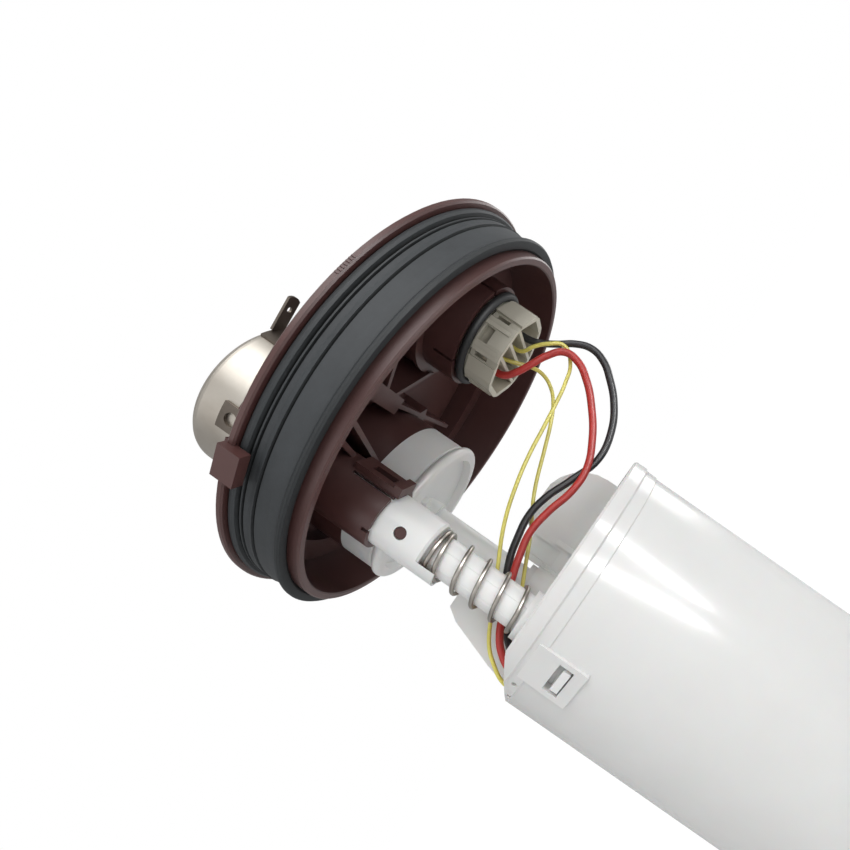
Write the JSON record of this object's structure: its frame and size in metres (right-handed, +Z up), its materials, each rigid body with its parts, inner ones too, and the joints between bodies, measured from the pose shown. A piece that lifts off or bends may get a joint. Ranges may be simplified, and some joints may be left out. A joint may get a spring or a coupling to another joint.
{
  "type": "in-tank fuel pump module",
  "caption": "In-tank fuel pump module: a cover flange with rubber gasket, steel filter can and wired connector, on a sprung column above a round white reservoir.",
  "frame": {"origin": "centre of the reservoir's base, in the plane of its feet", "axes": "+Z up along the reservoir, column and flange; +X towards the side where the flange overhangs the reservoir and the wires loop out; the pictured side faces -Y"},
  "size_m": [0.1296, 0.1296, 0.231],
  "materials": {
    "white_plastic": "satin moulded plastic",
    "reservoir_plastic": "slightly glossy moulded plastic",
    "brown_plastic": "dark burgundy moulded plastic",
    "grey_rubber": "dusty dark grey rubber",
    "black_rubber": "black rubber",
    "ivory_plastic": "ivory moulded plastic",
    "black_plastic": "black moulded plastic",
    "can_steel": "warm satin steel",
    "clip_steel": "dark bronze toned steel",
    "spring_steel": "drawn spring steel",
    "pump_steel": "zinc plated steel",
    "tinned_brass": "tinned brass",
    "copper": "copper",
    "magnet": "ferrite",
    "float_foam": "closed cell foam",
    "filter_paper": "pleated paper",
    "strainer_mesh": "woven mesh",
    "circuit_card": "ceramic card",
    "wire_red": "wire insulation",
    "wire_black": "wire insulation",
    "wire_yellow": "wire insulation"
  },
  "bodies": {
    "reservoir": {"reservoir_pot": "reservoir_plastic", "pump_carrier": "white_plastic", "inlet_strainer": "strainer_mesh", "inlet_valve": "black_rubber", "jet_nozzle": "black_plastic", "pump_isolator": "black_rubber", "pump_shell": "pump_steel", "pump_inlet_cover": "pump_steel", "pump_outlet_cap": "black_plastic", "pump_magnets": "magnet", "pump_brushes": "magnet", "pump_plug": "ivory_plastic", "outlet_grommet": "black_rubber", "sender_body": "white_plastic", "sender_card": "circuit_card", "column_spring": "spring_steel", "wire_red": "wire_red", "wire_black": "wire_black", "wire_yellow_a": "wire_yellow", "wire_yellow_b": "wire_yellow"},
    "pump_rotor": {"pump_shaft": "pump_steel", "pump_armature": "copper", "pump_commutator": "copper", "pump_impeller": "black_plastic"},
    "float_lever": {"sender_wiper": "ivory_plastic", "float_arm": "spring_steel", "float": "float_foam"},
    "flange": {"cover_flange": "brown_plastic", "column_socket": "brown_plastic", "connector_turret": "brown_plastic", "plug_shroud": "brown_plastic", "outlet_nipple": "brown_plastic", "flange_gasket": "grey_rubber", "turret_insert": "ivory_plastic", "turret_seal": "black_rubber", "contact_pins": "tinned_brass", "spring_column": "white_plastic", "delivery_tube": "white_plastic", "delivery_seal": "black_rubber", "filter_cap": "white_plastic", "cap_seal": "black_rubber", "pressure_regulator": "pump_steel", "filter_element": "filter_paper", "filter_can": "can_steel", "earth_terminal": "clip_steel", "can_clip": "clip_steel"}
  },
  "joints": [
    {"name": "flange_slide", "type": "slide", "parent": "reservoir", "child": "flange", "axis": [0, 0, -1], "range_m": [0, 0.018], "stiffness_N_per_m": 400, "springref_m": -0.02, "deforming": ["column_spring", "wire_red", "wire_black", "wire_yellow_a", "wire_yellow_b"]},
    {"name": "pump_spin", "type": "hinge", "parent": "reservoir", "child": "pump_rotor", "pos_m": [0.014, 0.0075, 0.05], "axis": [0, 0, 1], "continuous": true},
    {"name": "float_swing", "type": "hinge", "parent": "reservoir", "child": "float_lever", "pos_m": [0, 0.051, 0.082], "axis": [0, -1, 0], "range_deg": [0, 95]}
  ]
}
